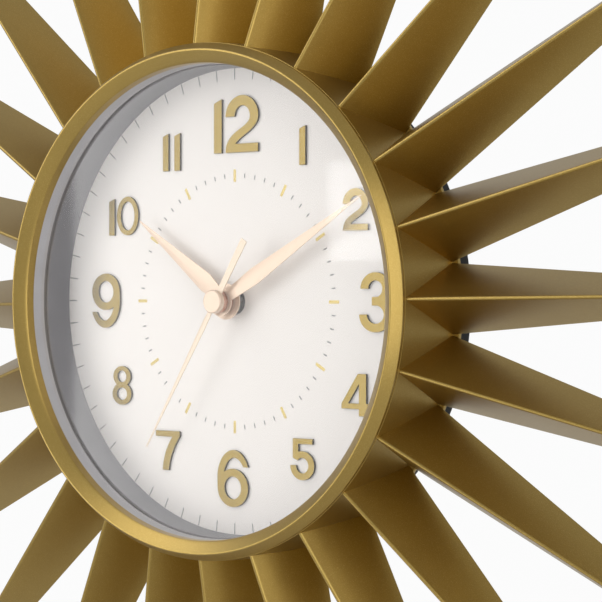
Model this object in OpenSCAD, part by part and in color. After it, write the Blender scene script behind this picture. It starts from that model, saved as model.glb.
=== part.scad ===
// Sunburst wall clock: a round gold case with tapered rays, a deep glazed dial,
// raised numerals, three hands and a battery quartz movement.
//
// Every piece is drawn lying on its back: x to the right, y towards 12 o'clock and
// z the height off the wall.  hang() then turns it upright, so that the finished
// clock faces -Y, 12 o'clock is +Z and the wall is the plane Y = 0.

/* [Case] */
// Radius of the drum where the rays begin, at its front edge
drum_r_front = 91.4; // [80:0.1:100]
// How much wider the drum is at its back edge
drum_draft = 1.6; // [0:0.1:3]
// Height of the drum's front edge off the wall
drum_top = 42.4; // [38:0.1:46]
// Wall thickness of the drum at its front
drum_wall = 2.6; // [2:0.1:4]
// Height of the bezel's crest off the wall
bezel_top = 47; // [45:0.1:50]
// Radius of the opening in the bezel
bezel_bore_r = 84.2; // [80:0.1:86]
// Radius of the black back cover
back_r = 90; // [86:0.1:92]
// Height of the back cover's rim off the wall
back_h = 15; // [14:0.1:15.5]

/* [Rays] */
// Number of rays
ray_count = 24; // [12:4:24]
// Distance of a ray's tip from the hand axis
ray_tip_r = 250; // [200:1:300]
// Height of the rays' back edges off the wall
ray_base_h = 16.5; // [16.5:0.1:18]
// Height of a ray's ridge where it leaves the drum
ray_ridge_h = 41.9; // [36:0.1:42]
// Radius of the rounding along a ray's ridge
ray_round = 0.8; // [0.3:0.1:1.5]
// Wall thickness of a ray
ray_wall = 2.2; // [1.5:0.1:3]
// Turn of the ring of rays against the dial, anticlockwise
ray_turn = 0.8; // [-2:0.1:2]

/* [Dial] */
// Height of the dial's face off the wall
dial_h = 21; // [20:0.1:24]
// Thickness of the dial
dial_t = 1; // [0.8:0.1:1.5]
// Radius of the dial
dial_r = 88.4; // [86:0.1:88.6]
// Radius of the ring that the numerals' centres lie on
numeral_ring_r = 64; // [58:0.5:66]
// Height of the four large numerals
numeral_big = 20.6; // [18:0.1:24]
// Height of the other numerals
numeral_small = 14.6; // [12:0.1:16]
// Thickness of a numeral
numeral_t = 1; // [0.5:0.1:1.5]

/* [Hands] */
// Clock angle of the hour hand, clockwise from 12
hour_angle = 305; // [0:1:360]
// Clock angle of the minute hand
minute_angle = 60; // [0:1:360]
// Clock angle of the second hand
second_angle = 212; // [0:1:360]
// Length of the hour hand from the axis
hour_len = 52; // [40:1:56]
// Length of the minute hand from the axis
minute_len = 73; // [60:1:78]
// Length of the second hand from the axis
second_len = 63; // [50:1:78]
// Length of the second hand's tail
tail_len = 25.8; // [15:0.1:30]

/* [Movement] */
// Width and height of the movement
move_size = 56; // [54:1:58]
// Running clearance between a shaft and its bearing, on the radius
run_gap = 0.05; // [0.02:0.01:0.09]
// Diameter of the battery cell
cell_d = 14.5; // [14:0.1:14.5]
// Length of the battery cell, with its stud
cell_len = 50.5; // [49:0.1:50.5]

/* [Hidden] */

gold = "#b08d3c";
pale_gold = "#e8cfa8";
rose_gold = "#b9825f";
e = 0.01;                                    // overlap that keeps a cut from leaving a skin

// Case, from the wall forwards
back_floor = 2;
back_wall = 2;
drum_bore_r = drum_r_front - drum_wall;
drum_r_back = drum_r_front + drum_draft;
ledge_r = 80;                                // inside radius of the ledge that carries the dial
ledge_bottom = 14;
flange_r = 95.5;                             // rim behind the rays that ties them together
bezel_lip = 40.1;                            // underside of the lip over the lens
ring_r = 86.6;                               // outside radius of the two rings inside the bezel
lens_r = 84.4;
lens_t = 2;
ring_bottom = 34.3;                          // where the ring that holds the lens meets the rehaut
screw_ring_r = 83.8;
screw_count = 6;
screw_seat = 9;                              // height of the seat for a screw head
window = move_size + 4;                      // square opening for the movement
hanger_y = 62;                               // centre of the hanger plate
hanger_t = 1;
key_r = 4.75;                                // round part of the keyhole
slot_r = 2.3;                                // half width of its slot
slot_up = 9;                                 // how far the slot runs up

// Stack of hands, heights off the wall
nut_r = 4.9;
nut_t = 1.9;
washer_t = 0.4;
post_r = 3.5;
post_top = dial_h + 2.6;
hour_h = 25.6;                               // underside of the hour hand
minute_h = 28.6;
second_h = 31.7;
disc_t = 0.5;                                // thickness of the discs under the hands
blade_t = 0.3;                               // thickness of a blade at its edges
second_t = 0.4;
collet_r = 4.5;
cap_r = 4.2;
cap_top = 33.8;

// Movement, heights off the wall
front_top = dial_h - dial_t - 1;             // front of the movement, under the gasket
front_in = front_top - 1.5;                  // inside of its front wall
cover_out = 3;                               // back of the movement
cover_in = cover_out + 1.5;
case_wall = 1.2;
plate_lo = 10.1;                             // middle plate
plate_hi = 10.7;
half = move_size / 2;
stator_lo = 5.9;
stator_hi = 6.7;
core_t = 0.8;
core_h = stator_hi + core_t / 2;             // centre of the coil's core
coil_x = 21;
coil_lo = -5.2;                              // the winding's two ends
coil_hi = 9.8;
coil_r = 2.5;
flange_t = 0.8;
leg_w = 3.6;
lower_leg_y = -8.5;
upper_leg_y = 12.8;
board_t = 1;
cell_r = cell_d / 2;
cell_y = -half + 1.6 + cell_r;
cell_h = cover_out + cell_r - 0.1;
bay_y = cell_y + cell_r + 0.3;               // top edge of the battery bay

// Shafts and tubes on the hand axis
second_r = 0.6;
second_pin_r = 0.3;                          // its lower end, which passes close to the fifth wheel
cannon_r = 1.75;
hour_tube_r = 2.55;

// Wheel trains: teeth, modules and the places of the axes
minute_set_m = 0.375;                        // cannon 12, minute wheel 36, setting pinion 12
hour_set_m = 0.36;                           // minute pinion 10, hour wheel 40
third_m = 0.255;                             // third pinion 8, centre wheel 64
second_m = 0.27;                             // second pinion 8, third wheel 60
fifth_m = 0.25;                              // fifth pinion 8, second wheel 40
rotor_m = 0.22;                              // rotor pinion 8, fifth wheel 48
function polar(r, a) = [r * cos(a), r * sin(a)];
minute_dir = 135;
third_dir = 45;
fifth_dir = -30;
rotor_dir = 0;
minute_at = polar(minute_set_m * (12 + 36) / 2, minute_dir);
knob_at = minute_at + polar(minute_set_m * (36 + 12) / 2, minute_dir);
third_at = polar(third_m * (8 + 64) / 2, third_dir);
fifth_at = polar(fifth_m * (8 + 40) / 2, fifth_dir);
rotor_at = fifth_at + polar(rotor_m * (8 + 48) / 2, rotor_dir);

// Angle that puts a gap of wheel b opposite a tooth of wheel a.  b lies in direction dir from a.
function in_mesh(dir, phase_a, teeth_a, teeth_b) =
    dir + 180 - 180 / teeth_b + (dir - phase_a) * teeth_a / teeth_b;
cannon_phase = 0;
centre_phase = 0;
second_phase = 0;
minute_phase = in_mesh(minute_dir, cannon_phase, 12, 36);
hour_phase = in_mesh(minute_dir + 180, minute_phase, 10, 40);
knob_phase = in_mesh(minute_dir, minute_phase, 36, 12);
third_phase = in_mesh(third_dir, centre_phase, 64, 8);       // its pinion against the centre wheel
third_wheel_phase = in_mesh(third_dir, second_phase, 8, 60); // its wheel against the second pinion
fifth_phase = in_mesh(fifth_dir, second_phase, 40, 8);
fifth_wheel_phase = fifth_phase;
rotor_phase = in_mesh(rotor_dir, fifth_wheel_phase, 48, 8);

// ---- helpers -------------------------------------------------------------

module hang() { rotate([90, 0, 0]) children(); }

module at(p, z = 0) { translate([p[0], p[1], z]) children(); }

// A cylinder from height lo to height hi
module rod(r, lo, hi) { translate([0, 0, lo]) cylinder(r = r, h = hi - lo, $fn = 96); }

module tube(r, bore, lo, hi) {
    difference() {
        rod(r, lo, hi);
        rod(bore, lo - 1, hi + 1);
    }
}

module slab(w, l, lo, hi) { translate([-w / 2, -l / 2, lo]) cube([w, l, hi - lo]); }

// One tooth as fractions of the module: heights, then half widths at root, pitch and tip
wheel_tooth = [0.9, 1.15, 0.78, 0.62, 0.28];
pinion_tooth = [0.8, 1.15, 0.58, 0.6, 0.28];

// A spur gear between two heights, with a tooth centred on the angle phase
module gear(teeth, m, lo, hi, tooth, phase) {
    pitch = teeth * m / 2;
    profile = [[pitch - tooth[1] * m, tooth[2] * m], [pitch, tooth[3] * m], [pitch + tooth[0] * m, tooth[4] * m]];
    outline = [for (i = [0 : teeth - 1], k = [0 : 5])
        let (p = profile[k < 3 ? k : 5 - k], side = k < 3 ? -1 : 1)
        polar(p[0], phase + 360 * i / teeth + side * asin(p[1] / p[0]))];
    translate([0, 0, lo]) linear_extrude(hi - lo) polygon(outline);
}

module wheel(teeth, m, lo, hi, phase) { gear(teeth, m, lo, hi, wheel_tooth, phase); }
module pinion(teeth, m, lo, hi, phase) { gear(teeth, m, lo, hi, pinion_tooth, phase); }

// ---- case ----------------------------------------------------------------

module bezel() {
    color(gold) hang() rotate_extrude($fn = 180) polygon([
        [bezel_bore_r, bezel_lip], [bezel_bore_r, bezel_top - 3.4], [bezel_bore_r + 0.8, bezel_top - 2.5],
        [88.1, bezel_top - 0.1], [88.6, bezel_top], [89, bezel_top - 0.3],
        [drum_r_front - 0.2, drum_top + 0.9], [drum_r_front - 0.2, drum_top],
        [drum_bore_r - 0.1, drum_top], [drum_bore_r - 0.1, 33], [ring_r + 0.2, 33], [ring_r + 0.2, bezel_lip]]);
}

// Pale ring under the bezel's lip, with the lens bonded into it
module lens_ring() {
    color("#a9a9ae") hang() rotate_extrude($fn = 180) polygon([
        [lens_r, ring_bottom + 0.3], [lens_r + 0.3, ring_bottom], [ring_r, ring_bottom],
        [ring_r, bezel_lip], [lens_r, bezel_lip]]);
}

module lens() {
    color("#dfe8ea", 0.35) hang() rod(lens_r, bezel_lip - lens_t, bezel_lip);
}

// Grey ring between the dial and the lens ring, with a step in its front edge that leaves a groove
module rehaut() {
    groove = 33;
    color("#8b8b90") hang() rotate_extrude($fn = 180) polygon([
        [84.3, dial_h], [84.3, groove - 0.3], [84.6, groove], [85.2, groove], [85.2, ring_bottom],
        [ring_r, ring_bottom], [ring_r, dial_h]]);
}

module drum_screw_places() {
    for (i = [0 : screw_count - 1]) at(polar(screw_ring_r, 30 + 360 * i / screw_count)) children();
}

module drum() {
    color(gold) hang() difference() {
        rotate_extrude($fn = 180) polygon([
            [ledge_r, ledge_bottom], [back_r - back_wall - 0.2, ledge_bottom], [back_r - back_wall - 0.2, back_h],
            [flange_r, back_h], [flange_r, ray_base_h], [drum_r_back, ray_base_h],
            [drum_r_front, drum_top], [drum_bore_r, drum_top],
            [drum_bore_r, dial_h - dial_t], [ledge_r, dial_h - dial_t]]);
        drum_screw_places() rod(1.25, ledge_bottom - 1, ledge_bottom + 4.5);
    }
}

// A ray is a long wedge whose top slopes down from the drum to the tip, cut off flat
// behind.  Its section square to the ridge is the same all along: two straight flanks
// that run into the rounding of the ridge.
ray_drop = atan2(ray_ridge_h - ray_base_h, ray_tip_r - drum_r_front);
ray_foot = polar(drum_r_back, 90 - 180 / ray_count) - [0.03, 0];     // widest corner, at the drum
foot_depth = (ray_tip_r - ray_foot[1]) * sin(ray_drop) - ray_round;
flank_angle = acos(ray_round / norm([ray_foot[0], foot_depth])) - atan2(foot_depth, ray_foot[0]);

module along_ridge() {
    translate([0, ray_tip_r, ray_base_h]) rotate([90 - ray_drop, 0, 0])
        linear_extrude(ray_tip_r - 80) children();
}

// Everything between two flanks that are tangent to a circle of radius r round point [0, y]
module between_flanks(y, r) {
    deep = 34;
    top = y + r * sin(flank_angle);
    half_top = r * cos(flank_angle);
    half_low = half_top + (deep + top) * tan(flank_angle);
    polygon([[-half_top, top], [half_top, top], [half_low, -deep], [-half_low, -deep]]);
    if (r > 0) translate([0, y]) circle(r, $fn = 32);
}

module ray() {
    difference() {
        along_ridge() between_flanks(-ray_round, ray_round);
        along_ridge() between_flanks(-ray_round - (ray_wall - ray_round) / sin(flank_angle), 0);
        translate([-60, 0, ray_base_h - 60]) cube([120, 300, 60]);
        translate([0, 0, ray_base_h])
            cylinder(r1 = drum_r_back, r2 = drum_r_front, h = drum_top - ray_base_h, $fn = 180);
        rod(drum_r_front, drum_top, drum_top + 30);
    }
}

// The rays are hollow from behind and stand against the drum
module rays() {
    color(gold) hang() for (i = [0 : ray_count - 1]) rotate(ray_turn + 360 * i / ray_count) ray();
}

module back_cover() {
    edge = 3;
    color("#161616") hang() difference() {
        union() {
            rotate_extrude($fn = 180) polygon(concat(
                [[0, 0]],
                [for (a = [-90 : 15 : 0]) [back_r - edge + edge * cos(a), edge + edge * sin(a)]],
                [[back_r, back_h], [back_r - back_wall, back_h], [back_r - back_wall, back_floor], [0, back_floor]]));
            drum_screw_places() rod(4.4, back_floor - e, ledge_bottom);
            slab(window + 4, window + 4, back_floor - e, 8);
        }
        slab(window, window, -1, 9);
        drum_screw_places() rod(2.9, -1, screw_seat);
        drum_screw_places() rod(1.6, screw_seat - 1, ledge_bottom + 1);
        translate([0, hanger_y, 0]) slab(30.2, 34.2, -1, hanger_t);
        translate([0, hanger_y + 2, 0]) slab(14, 24, 0, back_floor + 1);
        for (x = [-11, 11]) translate([x, hanger_y, 0]) rod(1.25, -1, back_floor + 1);
        for (i = [-3 : 3]) translate([9 * i, -62, 0]) slab(3, 24, -1, back_floor + 1);
    }
}

module back_screws() {
    color("#777777") hang() drum_screw_places() difference() {
        union() {
            rod(2.6, screw_seat - 2, screw_seat);
            rod(1.25, screw_seat - e, ledge_bottom + 4);
        }
        for (a = [0, 90]) rotate(a) slab(0.7, 3.2, screw_seat - 3, screw_seat - 1.1);
    }
}

module hanger_plate() {
    color("#b8bcc0") hang() difference() {
        translate([0, hanger_y, 0]) slab(30, 34, 0, hanger_t);
        translate([0, hanger_y - 4, 0]) {
            rod(key_r, -1, hanger_t + 1);
            translate([0, slot_up / 2, 0]) slab(2 * slot_r, slot_up, -1, hanger_t + 1);
            translate([0, slot_up, 0]) rod(slot_r, -1, hanger_t + 1);
        }
        for (x = [-11, 11]) translate([x, hanger_y, 0]) rod(1.25, -1, hanger_t + 1);
    }
}

module hanger_rivets() {
    color("#9a9da0") hang() for (x = [-11, 11]) translate([x, hanger_y, 0]) {
        rod(1.25, 0.2, back_floor + 0.1);
        rod(2.2, back_floor, back_floor + 0.8);
    }
}

// ---- dial ----------------------------------------------------------------

module dial() {
    color("#f2efec") hang() tube(dial_r, post_r + 0.1, dial_h - dial_t, dial_h);
}

// Figures are drawn in the plane with their lower left corner at the origin, as outlines in
// fractions of their height h.

// Points along an arc of an ellipse
function arch(x, y, rx, ry, a0, a1) =
    [for (i = [0 : 24]) let (a = a0 + (a1 - a0) * i / 24) [x + rx * cos(a), y + ry * sin(a)]];

// Points of a smooth curve from a to d, pulled towards b and then c
function bend(a, b, c, d) = [for (i = [0 : 12]) let (t = i / 12)
    pow(1 - t, 3) * a + 3 * pow(1 - t, 2) * t * b + 3 * (1 - t) * t * t * c + pow(t, 3) * d];

// Part of an elliptical ring between two angles
module band(h, x, y, outer, inner, a0, a1) {
    polygon(h * concat(arch(x, y, outer[0], outer[1], a0, a1), arch(x, y, inner[0], inner[1], a1, a0)));
}

module loop(h, x, y, outer, inner) {
    difference() {
        translate(h * [x, y]) scale([outer[0] / outer[1], 1]) circle(outer[1] * h, $fn = 48);
        translate(h * [x, y]) scale([inner[0] / inner[1], 1]) circle(inner[1] * h, $fn = 48);
    }
}

module figure_0(h) { loop(h, 0.378, 0.5, [0.378, 0.5], [0.243, 0.371]); }

module figure_1(h, s) { polygon([[0, 0], [s, 0], [s, 0.95 * h], [0, 0.88 * h]]); }

module figure_2(h) {
    polygon(h * concat([[0, 0], [0.745, 0], [0.745, 0.155]],
        bend([0.23, 0.155], [0.34, 0.29], [0.75, 0.4], [0.75, 0.63]),
        arch(0.375, 0.63, 0.375, 0.37, 7, 180), arch(0.385, 0.63, 0.175, 0.19, 180, 0),
        [for (p = bend([0.56, 0.63], [0.56, 0.4], [0, 0.42], [0, 0])) if (p[1] > 0.001 && p[1] < 0.629) p]));
}

module figure_3(h) {
    band(h, 0.336, 0.7235, [0.309, 0.2765], [0.145, 0.14], -90, 180);
    band(h, 0.336, 0.2946, [0.336, 0.2946], [0.176, 0.1535], -180, 90);
    translate([0.265 * h, 0.4456 * h]) square([0.1 * h, 0.141 * h]);
}

module figure_4(h) {
    difference() {
        polygon(h * [[0.485, 1], [0.735, 1], [0.735, 0.3], [0.83, 0.3], [0.83, 0.17], [0.735, 0.17],
                     [0.735, 0], [0.52, 0], [0.52, 0.17], [0, 0.17], [0, 0.285]]);
        polygon(h * [[0.52, 0.3], [0.52, 0.76], [0.2, 0.3]]);
    }
}

module figure_5(h) {
    band(h, 0.3685, 0.35, [0.37, 0.35], [0.19, 0.187], -180, 128);
    translate([0.077 * h, 0.87 * h]) square([0.606 * h, 0.13 * h]);
    polygon(h * [[0.077, 0.53], [0.2266, 0.468], [0.3, 0.6], [0.246, 0.72], [0.246, 0.93], [0.077, 0.93]]);
}

module figure_6(h) {
    loop(h, 0.35, 0.335, [0.35, 0.335], [0.193, 0.2]);
    polygon(h * concat(arch(0.365, 0.5, 0.37, 0.5, 24.8, 180), [[0, 0.335], [0.15, 0.335]],
                       arch(0.386, 0.5, 0.247, 0.366, 180, 35)));
}

module figure_7(h) {
    polygon(h * concat([[0, 0.856], [0, 1], [0.8, 1], [0.823, 0.98]],
        bend([0.823, 0.872], [0.66, 0.66], [0.47, 0.34], [0.451, 0]),
        bend([0.241, 0], [0.255, 0.32], [0.4, 0.65], [0.568, 0.85])));
}

module figure_8(h) {
    loop(h, 0.335, 0.285, [0.335, 0.285], [0.182, 0.161]);
    loop(h, 0.335, 0.736, [0.305, 0.264], [0.158, 0.153]);
}

module figure_9(h) { translate([0.72 * h, h]) rotate(180) figure_6(h); }

module figure(n, h, s) {
    if (n == 0) figure_0(h);
    if (n == 1) figure_1(h, s);
    if (n == 2) figure_2(h);
    if (n == 3) figure_3(h);
    if (n == 4) figure_4(h);
    if (n == 5) figure_5(h);
    if (n == 6) figure_6(h);
    if (n == 7) figure_7(h);
    if (n == 8) figure_8(h);
    if (n == 9) figure_9(h);
}

// Width of each figure as a fraction of its height; a 1 is one stroke wide
figure_w = [0.756, 0, 0.75, 0.672, 0.83, 0.74, 0.72, 0.823, 0.67, 0.72];
function width_of(n, h, s) = n == 1 ? s : figure_w[n] * h;

// A raised numeral for an hour, upright, at its place round the dial.  The room that a 1 has
// on its left in a number of two figures moves the number a little to the right.
module numeral(hour) {
    h = hour % 3 == 0 ? numeral_big : numeral_small;
    s = hour % 3 == 0 ? 3.7 : 2.8;
    gap = (hour == 11 ? 0.2 : 0.09) * h;
    left = floor(hour / 10);
    right = hour % 10;
    left_w = left > 0 ? width_of(left, h, s) + gap : 0;
    total = left_w + width_of(right, h, s);
    nudge = 0.065 * h * (left + (hour == 11 ? 1 : 0));
    place = polar(numeral_ring_r, 90 - 30 * hour);
    color(gold) hang() translate([place[0] - total / 2 + nudge, place[1] - h / 2, dial_h])
        linear_extrude(numeral_t) {
            if (left > 0) figure(left, h, s);
            translate([left_w, 0]) figure(right, h, s);
        }
}

// ---- hands ---------------------------------------------------------------

// A lance-shaped blade pointing along y, rising to a ridge along its middle.  Its half
// width is root at the disc, wide at distance wide_y and tip at its end.
module blade(root_y, root, wide_y, wide, end_y, tip, rise) {
    point_y = wide_y + (end_y - wide_y) * wide / (wide - tip);
    fall = atan2(rise, point_y - wide_y);
    pitch = rise / wide;
    intersection() {
        linear_extrude(blade_t + 2 * rise) polygon([[-root, root_y], [-wide, wide_y], [-tip, end_y],
            [tip, end_y], [wide, wide_y], [root, root_y]]);
        translate([0, point_y, blade_t]) rotate([90 - fall, 0, 0]) linear_extrude(point_y)
            polygon([[0, 0], [6, -6 * pitch], [6, -9], [-6, -9], [-6, -6 * pitch]]);
    }
}

module hand_at(angle, h) { rotate(-angle) translate([0, 0, h]) children(); }

module hour_hand() {
    color(pale_gold) hang() hand_at(hour_angle, hour_h) {
        tube(6.5, hour_tube_r, 0, disc_t);
        blade(6, 2.7, 12, 3.6, hour_len, 0.2, 0.4);
    }
}

module hour_collet() { color(rose_gold) hang() tube(collet_r, hour_tube_r, post_top + 0.25, hour_h); }

module minute_hand() {
    color(pale_gold) hang() hand_at(minute_angle, minute_h) {
        tube(5.2, cannon_r, 0, disc_t);
        blade(4.8, 2.2, 18, 3.1, minute_len, 0.15, 0.4);
    }
}

module minute_collet() { color(rose_gold) hang() tube(collet_r - 0.3, cannon_r, hour_h + disc_t + 0.5, minute_h); }

module second_hand() {
    color(pale_gold) hang() hand_at(second_angle, second_h) {
        tube(cap_r, second_r, 0, second_t);
        blade(3.6, 0.9, 10, 1.12, second_len, 0.2, 0.15);
        rotate(180) translate([0, 3.6, 0]) linear_extrude(second_t)
            polygon([[-1.2, 0], [-1.4, tail_len - 3.6], [1.4, tail_len - 3.6], [1.2, 0]]);
    }
}

module second_collet() { color(rose_gold) hang() tube(cap_r, second_r, minute_h + disc_t + 0.4, second_h); }

module hand_cap() {
    color(pale_gold) hang() difference() {
        rotate_extrude($fn = 96) polygon([
            [0, second_h + second_t], [cap_r, second_h + second_t], [cap_r, cap_top - 0.35],
            [cap_r - 0.35, cap_top], [0, cap_top]]);
        hand_at(second_angle, second_h) blade(3, 1.3, 10, 1.5, second_len, 0.2, 0.2);
        rod(second_r, 0, second_h + 1.3);
    }
}

module post_nut() {
    color("#5c5c60") hang() difference() {
        translate([0, 0, dial_h + washer_t]) cylinder(r = nut_r, h = nut_t, $fn = 6);
        rod(post_r, 0, 40);
    }
}

module post_washer() {
    color("#77777c") hang() tube(nut_r, post_r, dial_h, dial_h + washer_t);
}

module dial_gasket() {
    color("#1c1c1c") hang() difference() {
        slab(40, 40, front_top, dial_h - dial_t);
        rod(post_r, 0, 40);
    }
}

// ---- movement ------------------------------------------------------------

module case_corners() { for (x = [-1, 1], y = [-1, 1]) translate([x * (half - 4), y * (half - 4), 0]) children(); }

module movement_case() {
    color("#23262b") hang() difference() {
        union() {
            difference() {
                slab(move_size, move_size, cover_in, front_top);
                slab(move_size - 2 * case_wall, move_size - 2 * case_wall, cover_in - 1, front_in);
            }
            rod(post_r, front_in, post_top);
            at(third_at) rod(1.4, 14.7, front_in + e);
        }
        rod(hour_tube_r + run_gap, 0, 40);
        at(third_at) rod(0.5 + run_gap, 14, 16);
        at(minute_at) rod(0.6 + run_gap, 16, front_in + 0.9);
        at(knob_at) rod(0.6 + run_gap, 16, front_in + 0.9);
    }
}

module movement_cover() {
    color("#2b2e34") hang() difference() {
        union() {
            slab(move_size, move_size, cover_out, cover_in);
            translate([0, bay_y + 0.5, 0]) slab(move_size - 2 * case_wall - 0.2, 1, cover_in - e, front_in - 0.2);
            for (p = [[-13, -6], [-13, 4], [15, 6]]) at(p) rod(1.2, cover_in - e, plate_lo);
            for (y = [lower_leg_y, upper_leg_y]) translate([coil_x, y, 0]) rod(1.3, cover_in - e, stator_lo);
            at(third_at) rod(1.3, cover_in - e, 9.4);
        }
        translate([0, cell_y, 0]) slab(cell_len + 1.6, cell_d + 0.4, 0, cover_in + 1);
        at(knob_at) rod(1.2 + run_gap, 0, 6);
        at(third_at) rod(0.5 + run_gap, 8, 10);
        rod(second_pin_r + run_gap, 3.6, 6);
        at(fifth_at) rod(0.4 + run_gap, 3.6, 6);
        at(rotor_at) rod(0.4 + run_gap, 3.6, 6);
    }
}

module cover_clips() {
    color("#34373d") hang() for (a = [0, 180]) rotate(a) translate([half + 0.4, 12, 0]) {
        slab(0.8, 7, cover_out + 0.2, 9);
    }
}

module middle_plate() {
    color("#c9ccd0") hang() difference() {
        translate([0.5, 2.6, 0]) slab(32, 21.6, plate_lo, plate_hi);
        rod(second_r + run_gap, 0, 40);
        at(third_at) rod(0.5 + run_gap, 0, 40);
        at(minute_at) rod(0.6 + run_gap, 0, 40);
        at(fifth_at) rod(0.4 + run_gap, 0, 40);
        at(rotor_at) rod(0.4 + run_gap, 0, 40);
        at(knob_at) rod(2.4, 0, 40);
    }
}

module hour_wheel() {
    color("#e6e2d6") hang() difference() {
        union() {
            wheel(40, hour_set_m, 16, 17.2, hour_phase);
            rod(hour_tube_r, 16, hour_h + disc_t);
        }
        rod(cannon_r + run_gap, 0, 40);
    }
}

module centre_wheel() {
    color("#d9d2c0") hang() difference() {
        union() {
            wheel(64, third_m, 12.8, 14, centre_phase);
            pinion(12, minute_set_m, 14 - e, 15.8, cannon_phase);
            rod(cannon_r, 12.8, minute_h + disc_t);
        }
        rod(second_r + run_gap, 0, 40);
    }
}

module minute_wheel() {
    color("#e6e2d6") hang() at(minute_at) {
        wheel(36, minute_set_m, 14.4, 15.6, minute_phase);
        pinion(10, hour_set_m, 15.6 - e, 17.2, minute_phase);
        rod(0.6, 9.9, front_in + 0.7);
    }
}

module third_wheel() {
    color("#e6e2d6") hang() at(third_at) {
        wheel(60, second_m, 11.2, 12.2, third_wheel_phase);
        pinion(8, third_m, 12.2 - e, 14.2, third_phase);
        rod(0.5, 8.6, 15.8);
    }
}

module second_wheel() {
    color("#e6e2d6") hang() {
        wheel(40, fifth_m, 8.9, 9.8, second_phase);
        pinion(8, second_m, 10.9, 12.4, second_phase);
        rod(second_r, 9, second_h + 1.1);
        rod(second_pin_r, 3.8, 9 + e);
    }
}

module fifth_wheel() {
    color("#e6e2d6") hang() at(fifth_at) {
        wheel(48, rotor_m, 7.5, 8.4, fifth_wheel_phase);
        pinion(8, fifth_m, 8.4 - e, 9.9, fifth_phase);
        rod(0.4, 3.8, plate_hi + 0.1);
    }
}

module rotor() {
    color("#e6e2d6") hang() at(rotor_at) {
        pinion(8, rotor_m, 7.2, 8.7, rotor_phase);
        rod(0.4, 3.8, plate_hi + 0.1);
        rod(1.2, 5, 7.2 + e);
    }
}

module rotor_magnet() {
    color("#50545a") hang() at(rotor_at) tube(2.4, 1.2, 5.2, 7);
}

// Iron plate with a ring round the magnet and two legs that reach the ends of the coil's core
module stator() {
    left = rotor_at[0] - 2;
    color("#8d9196") hang() difference() {
        union() {
            at(rotor_at) rod(4.2, stator_lo, stator_hi);
            translate([left, lower_leg_y - leg_w / 2, stator_lo]) cube([4, 5, stator_hi - stator_lo]);
            translate([left, lower_leg_y - leg_w / 2, stator_lo])
                cube([coil_x + 2.5 - left, leg_w, stator_hi - stator_lo]);
            translate([left + 1, rotor_at[1], stator_lo])
                cube([3.4, upper_leg_y + leg_w / 2 - rotor_at[1], stator_hi - stator_lo]);
            translate([left + 1, upper_leg_y - leg_w / 2, stator_lo])
                cube([coil_x + 1.5 - left, leg_w, stator_hi - stator_lo]);
        }
        at(rotor_at) rod(2.9, 0, 20);
    }
}

module bar_along_y(w, h, from_y, to_y, z) {
    translate([coil_x - w / 2, from_y, z - h / 2]) cube([w, to_y - from_y, h]);
}

module round_along_y(r, from_y, to_y, z) {
    translate([coil_x, to_y, z]) rotate([90, 0, 0]) cylinder(r = r, h = to_y - from_y, $fn = 64);
}

module coil_core() { color("#8d9196") hang() bar_along_y(2.4, core_t, lower_leg_y - 1.5, upper_leg_y + 1.5, core_h); }

module coil_bobbin() {
    color("#e9e6dc") hang() difference() {
        union() {
            bar_along_y(3.4, core_t + 1, coil_lo - flange_t, coil_hi + flange_t, core_h);
            round_along_y(coil_r + 0.1, coil_lo - flange_t, coil_lo, core_h);
            round_along_y(coil_r + 0.1, coil_hi, coil_hi + flange_t, core_h);
        }
        bar_along_y(2.4, core_t, coil_lo - 3, coil_hi + 3, core_h);
    }
}

module coil() {
    color("#a85a2a") hang() difference() {
        round_along_y(coil_r, coil_lo, coil_hi, core_h);
        bar_along_y(3.4, core_t + 1, coil_lo - 3, coil_hi + 3, core_h);
    }
}

module circuit_board() {
    color("#2f6a3c") hang() difference() {
        translate([4, 21.6, 0]) slab(40, 8, cover_in, cover_in + board_t);
        translate([-8, 21.6, 0]) rod(1, 0, 20);
    }
}

module crystal() {
    color("#c8ccd0") hang() translate([13, 20, cover_in + board_t + 1.2]) rotate([0, 90, 0])
        cylinder(r = 1.2, h = 6, $fn = 48);
}

module chip() {
    color("#101010") hang() translate([4, 21.6, cover_in + board_t]) intersection() {
        rod(2.6, 0, 1);
        translate([0, 0, -3.2]) sphere(r = 4.2, $fn = 48);
    }
}

// A strip against the end wall of the battery bay, with a raised dimple of radius r that
// meets the cell.  side is 1 at the right and -1 at the left.
module contact(side, r) {
    strip_x = half - case_wall;
    color("#c2c5c8") hang() {
        translate([side * (strip_x - 0.2), cell_y, 0]) slab(0.4, 9, cover_in, front_in - 1);
        translate([side * cell_len / 2, cell_y, cell_h]) rotate([0, side * 90, 0])
            cylinder(r = r, h = strip_x - 0.2 - cell_len / 2, $fn = 48);
    }
}

module contact_plus() { contact(1, 2); }

module contact_minus() { contact(-1, 3.4); }

module battery() {
    stud = 1.2;
    color("#3d6f8f") hang() translate([-cell_len / 2, cell_y, cell_h]) rotate([0, 90, 0]) {
        cylinder(r = cell_r, h = cell_len - stud, $fn = 96);
        cylinder(r = 2.6, h = cell_len, $fn = 48);
    }
}

module setting_knob() {
    grips = 18;
    color("#3a3d43") hang() at(knob_at) {
        difference() {
            rod(5, 0.8, cover_out - 0.1);
            for (i = [0 : grips - 1]) rotate(360 * i / grips) translate([5.2, 0, 0]) rod(0.5, 0, 4);
            slab(6, 0.9, 0, 1.4);
        }
        rod(1.2, cover_out - 0.2, 14.2);
        pinion(12, minute_set_m, 14.2 - e, 15.8, knob_phase);
        rod(0.6, 15.8 - e, front_in + 0.7);
    }
}

// ---- one line per node -----------------------------------------------------

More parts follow.
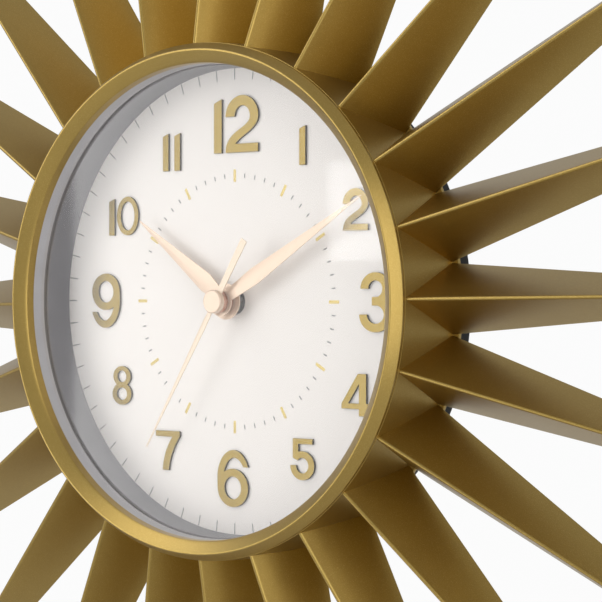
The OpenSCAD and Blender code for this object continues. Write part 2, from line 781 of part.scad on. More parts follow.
bezel();
lens();
lens_ring();
rehaut();
drum();
rays();
back_cover();
back_screws();
hanger_plate();
hanger_rivets();
dial();
numeral(1);  // numeral_1
numeral(2);  // numeral_2
numeral(3);  // numeral_3
numeral(4);  // numeral_4
numeral(5);  // numeral_5
numeral(6);  // numeral_6
numeral(7);  // numeral_7
numeral(8);  // numeral_8
numeral(9);  // numeral_9
numeral(10);  // numeral_10
numeral(11);  // numeral_11
numeral(12);  // numeral_12
hour_hand();
hour_collet();
minute_hand();
minute_collet();
second_hand();
second_collet();
hand_cap();
post_nut();
post_washer();
dial_gasket();
movement_case();
movement_cover();
middle_plate();
cover_clips();
hour_wheel();
centre_wheel();
minute_wheel();
third_wheel();
second_wheel();
fifth_wheel();
rotor();
rotor_magnet();
stator();
coil_core();
coil_bobbin();
coil();
circuit_board();
crystal();
chip();
contact_plus();
contact_minus();
battery();
setting_knob();
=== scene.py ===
import math

import bpy
from mathutils import Matrix, Vector


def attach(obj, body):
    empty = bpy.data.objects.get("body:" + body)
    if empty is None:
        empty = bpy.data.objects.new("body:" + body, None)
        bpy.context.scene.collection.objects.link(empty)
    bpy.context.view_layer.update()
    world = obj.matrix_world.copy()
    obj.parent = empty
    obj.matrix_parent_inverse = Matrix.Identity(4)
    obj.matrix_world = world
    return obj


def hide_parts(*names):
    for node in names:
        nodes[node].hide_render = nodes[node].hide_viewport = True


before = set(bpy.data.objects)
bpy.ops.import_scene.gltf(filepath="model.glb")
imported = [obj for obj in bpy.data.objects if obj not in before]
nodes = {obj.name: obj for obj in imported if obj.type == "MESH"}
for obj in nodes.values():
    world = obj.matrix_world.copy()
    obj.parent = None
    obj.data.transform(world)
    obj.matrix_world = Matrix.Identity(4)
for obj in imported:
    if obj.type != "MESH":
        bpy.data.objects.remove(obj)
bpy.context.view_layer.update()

# ---- Back cover ----------------------------------------------------------------------------
# A shallow tray moulded in black plastic with a fine spark-eroded grain.  It closes the case
# from behind, with a square window for the movement, a row of slots and a recessed hanger.

MM = 0.001


class Level:
    """A number that changes over a surface.  Arithmetic on levels adds Math nodes."""

    def __init__(self, finish, socket):
        self.finish = finish
        self.socket = socket

    def maths(self, operation, *values):
        return self.finish.add("ShaderNodeMath", {"operation": operation}, dict(enumerate(values)))

    def __add__(self, other):
        return self.maths("ADD", self, other)

    def __sub__(self, other):
        return self.maths("SUBTRACT", self, other)

    def __rsub__(self, other):
        return self.maths("SUBTRACT", other, self)

    def __mul__(self, other):
        return self.maths("MULTIPLY", self, other)

    def step(self, low, high):
        """0 below low, 1 above high and smooth in between."""
        return self.finish.add("ShaderNodeMapRange", {"interpolation_type": "SMOOTHSTEP"},
                               {"Value": self, "From Min": low, "From Max": high})

    __radd__ = __add__
    __rmul__ = __mul__


class Finish:
    """A material of one of the clock's surfaces, with patterns that are sized in millimetres."""

    def __init__(self, name, **fixed):
        self.material = bpy.data.materials.new(name)
        self.material.use_nodes = True
        self.tree = self.material.node_tree
        self.shader = self.tree.nodes["Principled BSDF"]
        for socket, value in fixed.items():
            self.shader.inputs[socket.replace("_", " ")].default_value = value
        self.place = self.add("ShaderNodeTexCoord", out="Object")

    def add(self, kind, settings=None, inputs=None, out=0):
        node = self.tree.nodes.new(kind)
        for key, value in (settings or {}).items():
            setattr(node, key, value)
        for key, value in (inputs or {}).items():
            self.put(node.inputs[key], value)
        return Level(self, node.outputs[out])

    def put(self, socket, value):
        if isinstance(value, Level):
            self.tree.links.new(value.socket, socket)
        else:
            socket.default_value = value

    def noise(self, size, detail=2.0, stretch=(1, 1, 1)):
        """Soft blotches about size millimetres across, drawn out along the axes by stretch."""
        room = self.add("ShaderNodeMapping", None,
                        {"Vector": self.place, "Scale": [1 / (size * MM * s) for s in stretch]})
        return self.add("ShaderNodeTexNoise", None, {"Vector": room, "Scale": 1.0, "Detail": detail})

    def along(self, axis):
        """The X, Y or Z coordinate in millimetres."""
        return self.add("ShaderNodeSeparateXYZ", None, {0: self.place}, out=axis) * (1 / MM)

    def radius(self):
        """Distance from the hand axis in millimetres."""
        flat = self.add("ShaderNodeVectorMath", {"operation": "MULTIPLY"}, {0: self.place, 1: (1, 0, 1)})
        return self.add("ShaderNodeVectorMath", {"operation": "LENGTH"}, {0: flat}, out="Value") * (1 / MM)

    def mix(self, share, low, high):
        """A colour between low and high."""
        return self.add("ShaderNodeMix", {"data_type": "RGBA"}, {0: share, 6: low, 7: high}, out=2)

    def relief(self, height, depth):
        """Bumps whose tops stand depth millimetres proud where height is 1."""
        self.put(self.shader.inputs["Normal"], self.add("ShaderNodeBump", None, {
            "Height": height, "Distance": depth * MM, "Strength": 1.0}))

    def skin(self, colour, roughness):
        self.put(self.shader.inputs["Base Color"], colour)
        self.put(self.shader.inputs["Roughness"], roughness)
        return self


def shade(colour, share):
    """The colour, darker or lighter by share."""
    return (*[min(1.0, c * share) for c in colour[:3]], 1.0)


def plastic(name, colour, roughness, grain, depth, **fixed):
    """Moulded plastic: faint flow marks and an eroded grain."""
    finish = Finish(name, **fixed)
    flow = finish.noise(14, 3.0)
    pits = finish.noise(grain, 4.0)
    finish.relief(pits, depth)
    return finish.skin(finish.mix(flow, shade(colour, 0.85), shade(colour, 1.15)),
                       roughness + 0.14 * (finish.noise(5, 2.0) - 0.5))


def coat(piece, finish):
    """Gives a piece, or a CAD node, its finish."""
    if not piece.material_slots:
        piece.data.materials.append(None)
    for place in piece.material_slots:
        place.material = finish.material


black_plastic = plastic("black_plastic", (0.010, 0.010, 0.010, 1), 0.55, 0.35, 0.05,
                        Specular_IOR_Level=0.25)
coat(nodes["back_cover"], black_plastic)

# ---- Back screws and hanger ----------------------------------------------------------------
# Six cross-headed screws hold the cover to the case, and a pressed steel plate with a keyhole
# is riveted into the recess at the top.  All are steel with a bright zinc plating.


def plated(name, colour, roughness, scratch=0.02, **fixed):
    """Plated metal: cloudy tone, and fine scratches along the sheet."""
    finish = Finish(name, Metallic=1.0, **fixed)
    cloud = finish.noise(6, 3.0)
    lines = finish.noise(0.5, 3.0, (14, 1, 1))
    finish.relief(lines, scratch)
    return finish.skin(finish.mix(cloud, shade(colour, 0.85), shade(colour, 1.1)),
                       roughness + 0.18 * (lines - 0.5))


zinc_steel = plated("zinc_steel", (0.60, 0.62, 0.65, 1), 0.36)
for name in ("back_screws", "hanger_plate", "hanger_rivets"):
    coat(nodes[name], zinc_steel)

# ---- Drum ----------------------------------------------------------------------------------
# The deep ring that the clock is built into, moulded in one with the rays and sprayed in a
# satin gold.  A rim behind the rays ties them together, and a ledge inside carries the dial.


def alone():
    """Leaves nothing selected, so that the next operator acts on the new piece only."""
    if bpy.context.object and bpy.context.object.mode != "OBJECT":
        bpy.ops.object.mode_set(mode="OBJECT")
    bpy.ops.object.select_all(action="DESELECT")


smooth_below = 32                            # degrees; an edge sharper than this stays crisp


def finish_mesh(piece, edge, segments=2, limit=32):
    """Rounds the edges sharper than limit degrees by edge millimetres and smooths the rest."""
    alone()
    piece.select_set(True)
    bpy.context.view_layer.objects.active = piece
    if edge:
        rounding = piece.modifiers.new("Rounding", "BEVEL")
        rounding.width = edge * MM
        rounding.segments = segments
        rounding.limit_method = "ANGLE"
        rounding.angle_limit = math.radians(limit)
        rounding.use_clamp_overlap = True
        bpy.ops.object.modifier_apply(modifier=rounding.name)
    bpy.ops.object.shade_smooth_by_angle(angle=math.radians(smooth_below))
    flats = piece.modifiers.new("Flats", "WEIGHTED_NORMAL")      # keeps the large faces flat
    flats.weight = 100
    flats.keep_sharp = True
    bpy.ops.object.modifier_apply(modifier=flats.name)


def turned(name, outline, edge, steps=192, segments=2):
    """A turned ring about the hand axis.  outline is its section, as radius and height in
    millimetres, and runs once round."""
    alone()
    radius, height = outline[0]
    bpy.ops.mesh.primitive_circle_add(vertices=steps, radius=radius * MM, location=(0, -height * MM, 0),
                                      rotation=(math.pi / 2, 0, 0))
    piece = bpy.context.object
    piece.name = name
    bpy.ops.object.transform_apply()
    bpy.ops.object.mode_set(mode="EDIT")
    bpy.ops.mesh.select_all(action="SELECT")
    for r, h in outline[1:] + outline[:1]:
        bpy.ops.mesh.extrude_edges_move(TRANSFORM_OT_translate={"value": (0, (height - h) * MM, 0)})
        bpy.ops.transform.resize(value=(r / radius, 1, r / radius), center_override=(0, -h * MM, 0))
        radius, height = r, h
    bpy.ops.mesh.select_all(action="SELECT")
    bpy.ops.mesh.remove_doubles(threshold=0.002 * MM)
    bpy.ops.mesh.normals_make_consistent(inside=False)
    finish_mesh(piece, edge, segments)
    return piece


# Sprayed gold: a metallic coat with a flake sparkle, a slight orange peel and satin clouds
gold_tone = (0.36, 0.24, 0.05, 1)
gold_paint = Finish("gold_paint", Metallic=1.0, Coat_Weight=0.6, Coat_Roughness=0.35)
flake = gold_paint.noise(0.22, 1.0)
peel = gold_paint.noise(1.1, 2.0)
cloud = gold_paint.noise(23, 3.0)
tone = gold_paint.mix(cloud, shade(gold_tone, 0.92), shade(gold_tone, 1.06))
gold_paint.relief(peel * 0.6 + flake * 0.4, 0.045)
gold_paint.skin(gold_paint.mix(flake.step(0.52, 0.75), tone, (0.50, 0.36, 0.11, 1)),
                0.37 + 0.10 * (cloud - 0.5) + 0.10 * (flake - 0.5))

drum = turned("case_drum", [
    (80, 14), (87.8, 14), (87.8, 15), (95.5, 15), (95.5, 16.5), (93, 16.5), (91.4, 42.4),
    (88.8, 42.4), (88.8, 20), (80, 20)], 0.25)
coat(drum, gold_paint)
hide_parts("drum")
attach(drum, "case")

# ---- Rays ----------------------------------------------------------------------------------
# Twenty-four hollow wedges, part of the same moulding.  Each runs from a tall root on the drum
# to a point near the wall, with two flat flanks that meet in a narrow rounded ridge.

ray_count = 24
ray_turn = 0.8                               # degrees that the ring is turned, anticlockwise
ray_base = 16.5                              # height of the back edges off the wall
ray_tip = 250.0
ray_root = 90.6                              # the roots end inside the drum's wall
ray_slope = (41.9 - ray_base) / (ray_tip - 91.4)
ridge_round = 0.8
sharp = 1.06                                 # how far the flanks would meet above the rounding
flank = 12.1 / ((ray_tip - 92.2) * ray_slope + sharp)        # half width gained by depth
lean = math.atan(flank)
ray_skin = 2.2


def pick(piece, kind, chosen):
    """Selects the vertices, edges or faces of a piece in edit mode whose middle passes chosen."""
    bpy.ops.mesh.select_all(action="DESELECT")
    bpy.ops.object.mode_set(mode="OBJECT")
    mesh = piece.data
    for part in getattr(mesh, kind):
        if kind == "vertices":
            part.select = chosen(part.co / MM)
        else:
            middle = sum((mesh.vertices[v].co for v in part.vertices), Vector()) / len(part.vertices)
            part.select = chosen(middle / MM)
    bpy.ops.object.mode_set(mode="EDIT")


def section(name, places, fill="NOTHING"):
    """An upright outline, from the corners of a circle that are moved to their places."""
    alone()
    bpy.ops.mesh.primitive_circle_add(vertices=len(places), radius=1, fill_type=fill,
                                      rotation=(math.pi / 2, 0, 0))
    piece = bpy.context.object
    piece.name = name
    bpy.ops.object.transform_apply()
    for corner, place in zip(piece.data.vertices, places):
        corner.co = Vector(place) * MM
    bpy.ops.object.mode_set(mode="EDIT")
    bpy.ops.mesh.select_mode(type="VERT")
    return piece


def cut_out(piece, cutter):
    """Takes the cutter's shape out of a piece, and removes the cutter."""
    alone()
    piece.select_set(True)
    bpy.context.view_layer.objects.active = piece
    hollow = piece.modifiers.new("Hollow", "BOOLEAN")
    hollow.operation = "DIFFERENCE"
    hollow.solver = "EXACT"
    hollow.object = cutter
    bpy.ops.object.modifier_apply(modifier=hollow.name)
    bpy.data.objects.remove(cutter)


# The ray: its root outline, rounded at the top, is drawn out to where only the rounding is left
root_rise = (ray_tip - ray_root) * ray_slope + sharp
root_half = root_rise * flank
ray = section("ray_ring", [(0, -ray_base - root_rise, ray_root), (-root_half, -ray_base, ray_root),
                           (root_half, -ray_base, ray_root)])
pick(ray, "vertices", lambda p: p.y < -ray_base - 1)
bpy.ops.mesh.bevel(offset=2 * ridge_round * math.cos(lean) * MM, segments=6, affect="VERTICES",
                   offset_type="WIDTH")
bpy.ops.mesh.select_mode(type="EDGE")
pick(ray, "edges", lambda p: abs(p.y + ray_base) < 0.01)
bpy.ops.mesh.delete(type="EDGE")
bpy.ops.mesh.select_all(action="SELECT")
blunt = ridge_round * math.cos(lean)
reach = (root_rise - blunt / flank) / ray_slope
bpy.ops.mesh.extrude_edges_move(TRANSFORM_OT_translate={
    "value": (0, reach * ray_slope * MM, reach * MM)})
bpy.ops.mesh.select_mode(type="VERT")
pick(ray, "vertices", lambda p: p.z > ray_root + 1 and abs(p.x) > 2)
bpy.ops.transform.resize(value=(blunt / root_half, 1, 1), center_override=(0, 0, 0))
bpy.ops.transform.translate(value=(0, -reach * ray_slope * MM, 0))
bpy.ops.mesh.select_mode(type="EDGE")
pick(ray, "edges", lambda p: p.z > ray_root + reach - 0.01)
bpy.ops.mesh.extrude_edges_move()
bpy.ops.transform.resize(value=(0, 0, 0), center_override=(0, -ray_base * MM, ray_tip * MM))
bpy.ops.mesh.select_mode(type="VERT")
bpy.ops.mesh.select_all(action="SELECT")
bpy.ops.mesh.remove_doubles(threshold=0.02 * MM)
pick(ray, "vertices", lambda p: abs(p.y + ray_base) < 0.03)
bpy.ops.mesh.edge_face_add()
pick(ray, "vertices", lambda p: p.z < ray_root + 0.01)
bpy.ops.mesh.edge_face_add()
bpy.ops.mesh.select_all(action="SELECT")
bpy.ops.mesh.normals_make_consistent(inside=False)

# The hollow behind it is a plain wedge, parallel to the flanks
deep = 2.0                                   # how far the cutter starts behind the back edges
hollow_root = 93.2
hollow_rise = (ray_tip - hollow_root) * ray_slope + sharp - ray_skin / math.sin(lean) + deep
hollow_low = -ray_base + deep
hollow = section("hollow", [(0, hollow_low - hollow_rise, hollow_root),
                            (-hollow_rise * flank, hollow_low, hollow_root),
                            (hollow_rise * flank, hollow_low, hollow_root)], "NGON")
bpy.ops.mesh.select_all(action="SELECT")
bpy.ops.mesh.extrude_region_move()
bpy.ops.transform.resize(value=(0, 0, 0), center_override=(
    0, hollow_low * MM, (hollow_root + hollow_rise / ray_slope) * MM))
bpy.ops.mesh.select_all(action="SELECT")
bpy.ops.mesh.remove_doubles(threshold=0.01 * MM)
bpy.ops.mesh.normals_make_consistent(inside=False)
cut_out(ray, hollow)
finish_mesh(ray, 0.3, limit=40)


def copies_round(piece, count, turn=0.0, skip=lambda i: False):
    """Copies a piece round the hand axis, clockwise from 12, and joins the copies into it."""
    master = piece.data
    others = []
    for i in range(count):
        if skip(i):
            continue
        copy = master.copy()
        copy.transform(Matrix.Rotation(math.radians(360 * i / count - turn), 4, "Y"))
        other = bpy.data.objects.new(piece.name + "_copy", copy)
        bpy.context.scene.collection.objects.link(other)
        others.append(other)
    alone()
    piece.data = others[0].data
    bpy.data.objects.remove(others[0])
    for other in others[1:]:
        other.select_set(True)
    piece.select_set(True)
    bpy.context.view_layer.objects.active = piece
    bpy.ops.object.join()


coat(ray, gold_paint)
copies_round(ray, ray_count, ray_turn)
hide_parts("rays")
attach(ray, "case")

# ---- Dial card -----------------------------------------------------------------------------
# A round card with a matt white face, on the drum's ledge.  The marks are printed on it: a gold
# bar for each hour, four short grey strokes between them, and a fine minute track at the edge.

dial_face = 21.0
print_depth = 0.04
dial_card = Finish("dial_card")
tooth = dial_card.noise(0.3, 3.0)
dial_card.relief(tooth, 0.006)
dial_card.skin(dial_card.mix(dial_card.noise(40, 2.0), (0.87, 0.845, 0.82, 1), (0.90, 0.88, 0.855, 1)),
               0.62 + 0.1 * (tooth - 0.5))
coat(nodes["dial"], dial_card)

print_gold = Finish("print_gold", Metallic=0.7)
print_gold.skin(print_gold.mix(print_gold.noise(0.3, 2.0), (0.42, 0.33, 0.12, 1), (0.52, 0.42, 0.17, 1)),
                0.42 + 0.1 * (print_gold.noise(0.5) - 0.5))
print_grey = Finish("print_grey")
print_grey.skin(print_grey.mix(print_grey.noise(0.3, 2.0), (0.20, 0.20, 0.205, 1), (0.28, 0.28, 0.285, 1)),
                0.5 + 0.1 * (print_grey.noise(0.5) - 0.5))


def printed_ring(name, from_r, to_r, width, count, skip, ink, corner=0.1):
    """A ring of printed strokes that point at the hand axis, each a film on the card."""
    alone()
    bpy.ops.mesh.primitive_plane_add(size=1, rotation=(math.pi / 2, 0, 0))
    mark = bpy.context.object
    mark.name = name
    bpy.ops.object.transform_apply()
    bpy.ops.object.mode_set(mode="EDIT")
    bpy.ops.mesh.select_all(action="SELECT")
    bpy.ops.transform.resize(value=(width * MM, 1, (to_r - from_r) * MM), center_override=(0, 0, 0))
    bpy.ops.transform.translate(value=(0, -(dial_face + print_depth) * MM, (from_r + to_r) / 2 * MM))
    bpy.ops.mesh.bevel(offset=corner * MM, segments=2, affect="VERTICES")
    bpy.ops.mesh.select_all(action="SELECT")
    bpy.ops.mesh.extrude_region_move(TRANSFORM_OT_translate={"value": (0, print_depth * MM, 0)})
    bpy.ops.mesh.select_all(action="SELECT")
    bpy.ops.mesh.normals_make_consistent(inside=False)
    finish_mesh(mark, 0)
    coat(mark, ink)
    copies_round(mark, count, skip=skip)
    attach(mark, "case")


printed_ring("hour_bars", 43.2, 47.7, 1.14, 12, lambda i: False, print_gold, 0.12)
printed_ring("minute_dashes", 44.65, 46.35, 0.45, 60, lambda i: i % 5 == 0, print_grey, 0.08)
printed_ring("minute_track", 80.2, 84.2, 0.35, 60, lambda i: False, print_grey, 0.06)

# ---- Numerals ------------------------------------------------------------------------------
# Raised figures about a millimetre thick, die cut from gold plastic sheet and glued to the card.  Their
# sides are painted near black, a painted shade for the shadow that falls on them.


def softened(name, node, edge, segments=2, limit=40):
    """A copy of a CAD node with its sharp edges rounded, which stands for the node."""
    alone()
    piece = nodes[node].copy()
    piece.data = nodes[node].data.copy()
    piece.name = name
    piece.parent = None
    for key in list(piece.keys()):
        del piece[key]
    bpy.context.scene.collection.objects.link(piece)
    piece.select_set(True)
    bpy.context.view_layer.objects.active = piece
    bpy.ops.object.mode_set(mode="EDIT")
    bpy.ops.mesh.select_all(action="SELECT")
    bpy.ops.mesh.remove_doubles(threshold=0.004 * MM)
    bpy.ops.mesh.dissolve_limited(angle_limit=math.radians(0.5))
    bpy.ops.object.mode_set(mode="OBJECT")
    finish_mesh(piece, edge, segments, limit)
    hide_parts(node)
    return piece


numeral_gold = Finish("numeral_gold", Metallic=1.0)
satin = numeral_gold.noise(0.5, 3.0)
# painted shade: everything below the front face, the figures' sides, gets a near black colour
face = numeral_gold.along(1).step(-dial_face - 0.85, -dial_face - 0.95)
numeral_gold.relief(satin, 0.01)
foil = numeral_gold.mix(satin, (0.215, 0.155, 0.04, 1), (0.25, 0.185, 0.055, 1))
numeral_gold.skin(numeral_gold.mix(face, (0.06, 0.055, 0.04, 1), foil), 0.38 + 0.12 * (satin - 0.5))
for hour in range(1, 13):
    numeral = softened(f"figure_{hour}", f"numeral_{hour}", 0.10)
    coat(numeral, numeral_gold)
    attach(numeral, "case")

# ---- Rehaut --------------------------------------------------------------------------------
# The deep ring between the dial and the lens, moulded in mid-grey plastic with a satin face.  A
# step round its front edge leaves a dark groove under the paler ring that holds the lens.

ring_inner = 84.3
ring_outer = 86.6
groove_back, groove_front = 33, 34.3         # the groove's two sides, as heights off the wall
rehaut_grey = plastic("rehaut_grey", (0.22, 0.22, 0.24, 1), 0.5, 0.6, 0.01, Specular_IOR_Level=0.2)
rehaut = turned("rehaut_ring", [
    (ring_inner, dial_face), (ring_inner, groove_back - 0.3), (ring_inner + 0.3, groove_back),
    (85.2, groove_back), (85.2, groove_front), (ring_outer, groove_front), (ring_outer, dial_face)],
    0.1)
coat(rehaut, rehaut_grey)
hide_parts("rehaut")
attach(rehaut, "case")

# ---- Lens and its ring ---------------------------------------------------------------------
# A flat sheet of clear acrylic, 2 mm thick, bonded into a pale grey plastic ring that fills the
# space between the rehaut and the bezel's lip.

lens_seat = 84.45                            # leaves the lens's edge clear by a hair
bezel_lip = 40.1                             # height of the lip that holds the lens ring down
pale_ring = plastic("pale_ring", (0.50, 0.505, 0.54, 1), 0.45, 0.6, 0.01)
holder_ring = turned("lens_holder", [
    (lens_seat, groove_front + 0.3), (lens_seat + 0.3, groove_front), (ring_outer, groove_front),
    (ring_outer, bezel_lip), (lens_seat, bezel_lip)], 0.1)
coat(holder_ring, pale_ring)
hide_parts("lens_ring")
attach(holder_ring, "case")

# Clear with a faint mirror on its faces, and none on the edge that is bonded to the ring
clear_lens = Finish("clear_lens")
clear = clear_lens.add("ShaderNodeBsdfTransparent", None, {"Color": (0.99, 0.985, 0.98, 1)})
gloss = clear_lens.add("ShaderNodeBsdfGlossy", None, {"Color": (1, 1, 1, 1), "Roughness": 0.04})
mirror = clear_lens.add("ShaderNodeFresnel", None, {"IOR": 1.35})
lens_edge = 84.4
polish = clear_lens.radius().step(lens_edge - 0.02, lens_edge - 0.1)
dulled = 0.35                                # share of the mirror kept, so that the dial reads clearly
pane = clear_lens.add("ShaderNodeMixShader", None, {0: dulled * mirror * polish, 1: clear, 2: gloss})
clear_lens.put(clear_lens.tree.nodes["Material Output"].inputs["Surface"], pane)
clear_lens.tree.nodes.remove(clear_lens.shader)
coat(nodes["lens"], clear_lens)

# ---- Bezel ---------------------------------------------------------------------------------
# The front ring, sprayed like the case.  It rises from the lens to a narrow crest, falls to the
# drum, and reaches inside the drum to hold the lens ring and the rehaut.

bezel = turned("front_bezel", [
    (84.2, bezel_lip), (84.2, 43.6), (85, 44.5), (88.1, 46.9), (88.6, 47), (89, 46.7),
    (91.2, 43.3), (91.2, 42.4), (88.7, 42.4), (88.7, 33), (ring_outer + 0.2, 33),
    (ring_outer + 0.2, bezel_lip)], 0.2, segments=3)
coat(bezel, gold_paint)
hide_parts("bezel")
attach(bezel, "case")

# ---- Movement ------------------------------------------------------------------------------
# A square black plastic case, closed from behind by a cover with two side clips, on a foam
# gasket.  Inside are the wheel train, the stepping motor, its board and the cell's contacts.

movement_black = plastic("movement_black", (0.016, 0.017, 0.019, 1), 0.42, 0.4, 0.03)
for name in ("movement_case", "movement_cover", "cover_clips"):
    coat(nodes[name], movement_black)
coat(nodes["dial_gasket"], plastic("black_foam", (0.02, 0.02, 0.02, 1), 0.9, 0.6, 0.12))
natural = plastic("natural_plastic", (0.74, 0.70, 0.58, 1), 0.38, 0.5, 0.01, Subsurface_Weight=0.1)
for name in ("hour_wheel", "centre_wheel", "minute_wheel", "third_wheel", "second_wheel",
             "fifth_wheel", "rotor"):
    coat(nodes[name], natural)
coat(nodes["coil_bobbin"], plastic("bobbin_white", (0.78, 0.76, 0.70, 1), 0.4, 0.5, 0.01))
coat(nodes["chip"], plastic("chip_resin", (0.008, 0.008, 0.009, 1), 0.25, 0.8, 0.01))
coat(nodes["rotor_magnet"], plated("magnet", (0.20, 0.21, 0.23, 1), 0.45))
core_iron = plated("core_iron", (0.42, 0.43, 0.45, 1), 0.4)
for name in ("stator", "coil_core"):
    coat(nodes[name], core_iron)
bright_tin = plated("bright_tin", (0.72, 0.73, 0.75, 1), 0.25)
for name in ("middle_plate", "crystal", "contact_plus", "contact_minus"):
    coat(nodes[name], bright_tin)

# The coil is wound turn by turn along z, so its relief is a row of fine wires
copper_wire = Finish("copper_wire", Metallic=1.0)
wires = copper_wire.add("ShaderNodeTexWave", {"bands_direction": "Z"},
                        {"Vector": copper_wire.place, "Scale": 0.7 / MM, "Distortion": 1.5})
copper_wire.relief(wires, 0.05)
# painted shade: the copper is darker in the grooves between the turns and lighter on their crowns
copper_wire.skin(copper_wire.mix(wires, (0.38, 0.14, 0.05, 1), (0.72, 0.33, 0.14, 1)), 0.3 + 0.2 * wires)
coat(nodes["coil"], copper_wire)

# Green lacquer over copper tracks, which show paler and slightly raised
board_green = Finish("board_green", Coat_Weight=0.4)
tracks = board_green.add("ShaderNodeTexVoronoi", {"feature": "DISTANCE_TO_EDGE", "distance": "MANHATTAN"},
                         {"Vector": board_green.place, "Scale": 0.35 / MM}).step(0.10, 0.14)
board_green.relief(1 - tracks, 0.03)
board_green.skin(board_green.mix(tracks, (0.05, 0.22, 0.08, 1), (0.015, 0.09, 0.03, 1)), 0.3 + 0.1 * tracks)
coat(nodes["circuit_board"], board_green)

# ---- Nut and washer ------------------------------------------------------------------------
# A thin dark hexagon nut on the movement's post clamps the dial and the case together, over a
# washer.  Both are steel with a dark nickel plating.

dark_nut = plated("dark_nut", (0.20, 0.20, 0.21, 1), 0.3)
nut = softened("hex_nut", "post_nut", 0.25, 3, 25)
coat(nut, dark_nut)
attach(nut, "case")
washer = turned("nut_washer", [(3.5, 21), (4.9, 21), (4.9, 21.4), (3.5, 21.4)], 0.08, 96)
coat(washer, dark_nut)
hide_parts("post_washer")
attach(washer, "case")

# ---- Collets -------------------------------------------------------------------------------
# The three turned tubes that carry the hands on their arbors, plated in rose gold.  Fine
# turning lines run round them.

hub_rose = Finish("hub_rose", Metallic=1.0)
turning = hub_rose.noise(0.4, 2.0, (60, 1, 60))
hub_rose.relief(turning, 0.008)
hub_rose.skin(hub_rose.mix(turning, (0.50, 0.27, 0.19, 1), (0.58, 0.33, 0.24, 1)),
              0.26 + 0.12 * (turning - 0.5))
for name, node, body, tube in (
        ("hour_tube", "hour_collet", "hour", (2.55, 4.5, 23.85, 25.6)),
        ("minute_tube", "minute_collet", "minute", (1.75, 4.2, 26.6, 28.6)),
        ("second_tube", "second_collet", "second", (0.6, 4.2, 29.5, 31.7))):
    bore, outer, low, high = tube
    collet = turned(name, [(outer, low), (outer, high), (bore, high), (bore, low)], 0.2, 96, 3)
    coat(collet, hub_rose)
    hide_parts(node)
    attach(collet, body)

# ---- Hands ---------------------------------------------------------------------------------
# Lance-shaped aluminium hands with a soft ridge along the middle and a disc at the hub, in a
# fine champagne satin.  The cap on the second hand's hub closes the stack.



def satin_metal(name, colour, metallic):
    """Lacquered aluminium with a very fine grain."""
    finish = Finish(name, Metallic=metallic)
    grain = finish.noise(0.35, 3.0)
    finish.relief(grain, 0.006)
    return finish.skin(finish.mix(grain, shade(colour, 0.96), shade(colour, 1.04)),
                       0.38 + 0.14 * (grain - 0.5))


hand_champagne = satin_metal("hand_champagne", (0.71, 0.555, 0.43, 1), 0.3)
second_cream = satin_metal("second_cream", (0.73, 0.61, 0.48, 1), 0.2)
for name, node, body, edge, finish in (
        ("hour_pointer", "hour_hand", "hour", 0.05, hand_champagne),
        ("minute_pointer", "minute_hand", "minute", 0.05, hand_champagne),
        ("second_pointer", "second_hand", "second", 0.04, second_cream)):
    hand = softened(name, node, edge, 2, 25)
    coat(hand, finish)
    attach(hand, body)
cap = softened("hub_cap", "hand_cap", 0.12, 3, 25)
coat(cap, hand_champagne)
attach(cap, "second")

# ---- Battery and setting knob --------------------------------------------------------------
# An AA cell lies in the bay at the bottom of the movement, in a printed metal jacket with a
# copper-coloured end.  A grooved black knob sets the hands from behind.

cell_jacket = Finish("cell_jacket", Metallic=0.5, Coat_Weight=0.5)
across = cell_jacket.along(0)
positive = across.step(13.4, 13.6)
stud = across.step(23.9, 24.0)
ink = cell_jacket.noise(3, 2.0)
shell = cell_jacket.mix(positive, (0.03, 0.10, 0.20, 1), (0.55, 0.28, 0.12, 1))
cell_jacket.skin(cell_jacket.mix(stud, shell, (0.70, 0.70, 0.72, 1)), 0.28 + 0.08 * (ink - 0.5))
coat(nodes["battery"], cell_jacket)
coat(nodes["setting_knob"], movement_black)

# ---- Studio --------------------------------------------------------------------------------
# The clock hangs free above a pale floor, in the light of three large soft boxes.  A fourth, a
# small bright one, is there for the pale patch that it makes on the lens over the 2.

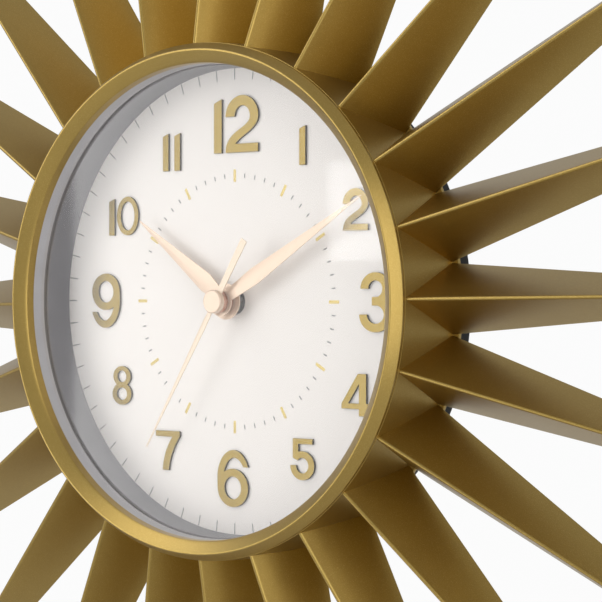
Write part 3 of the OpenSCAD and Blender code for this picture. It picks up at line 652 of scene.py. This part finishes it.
scene = bpy.context.scene
scene.view_settings.view_transform = "Standard"
world = bpy.data.worlds.new("Studio")
scene.world = world
world.use_nodes = True
sky = world.node_tree
seen = sky.nodes["Background"]
seen.inputs["Color"].default_value = (0.97, 0.97, 0.97, 1)
seen.inputs["Strength"].default_value = 1.0
lit = sky.nodes.new("ShaderNodeBackground")
lit.inputs["Color"].default_value = (1, 1, 1, 1)
lit.inputs["Strength"].default_value = 0.55
path = sky.nodes.new("ShaderNodeLightPath")
either = sky.nodes.new("ShaderNodeMixShader")
sky.links.new(path.outputs["Is Camera Ray"], either.inputs[0])
sky.links.new(lit.outputs[0], either.inputs[1])
sky.links.new(seen.outputs[0], either.inputs[2])
sky.links.new(either.outputs[0], sky.nodes["World Output"].inputs["Surface"])


def soft_box(name, azimuth, elevation, distance, wide, high, level):
    """A soft box aimed at the hub.  Azimuth 0 is straight in front and 90 on the right, and
    level is how bright its face is, where white card in full light is 1."""
    a, e = math.radians(azimuth), math.radians(elevation)
    back = Vector((math.sin(a) * math.cos(e), -math.cos(a) * math.cos(e), math.sin(e)))
    lamp = bpy.data.lights.new(name, "AREA")
    lamp.shape = "RECTANGLE"
    lamp.size, lamp.size_y = wide, high
    lamp.energy = level * math.pi * wide * high
    holder = bpy.data.objects.new(name, lamp)
    holder.location = back * distance
    holder.rotation_euler = (-back).to_track_quat("-Z", "Y").to_euler()
    scene.collection.objects.link(holder)


soft_box("Right_box", 64, 8, 1.5, 0.9, 1.6, 2.2)
soft_box("Left_box", -30, 0, 1.6, 0.9, 1.6, 2.9)
soft_box("Top_box", -50, 48, 1.5, 1.0, 0.8, 2.0)
soft_box("Glint_box", -33, 3.6, 1.2, 0.07, 0.09, 7.0)

alone()
bpy.ops.mesh.primitive_circle_add(vertices=96, radius=0.8, fill_type="NGON", location=(0, 0, -0.2505))
floor = bpy.context.object
floor.name = "Floor"
floor_paper = Finish("floor_paper")
floor_paper.skin(floor_paper.mix(floor_paper.noise(60, 2.0), (0.78, 0.78, 0.78, 1), (0.82, 0.82, 0.82, 1)),
                 0.8 + 0.05 * (floor_paper.noise(5) - 0.5))
coat(floor, floor_paper)

camera = bpy.data.objects.new("Camera", bpy.data.cameras.new("Camera"))
scene.collection.objects.link(camera)
camera.data.lens = 122.7
camera.data.sensor_width = 36
camera.location = (0.4831, -0.5843, 0.0052)
camera.rotation_euler = Vector((-0.6262, 0.7797, -0.0068)).to_track_quat("-Z", "Y").to_euler()
scene.camera = camera
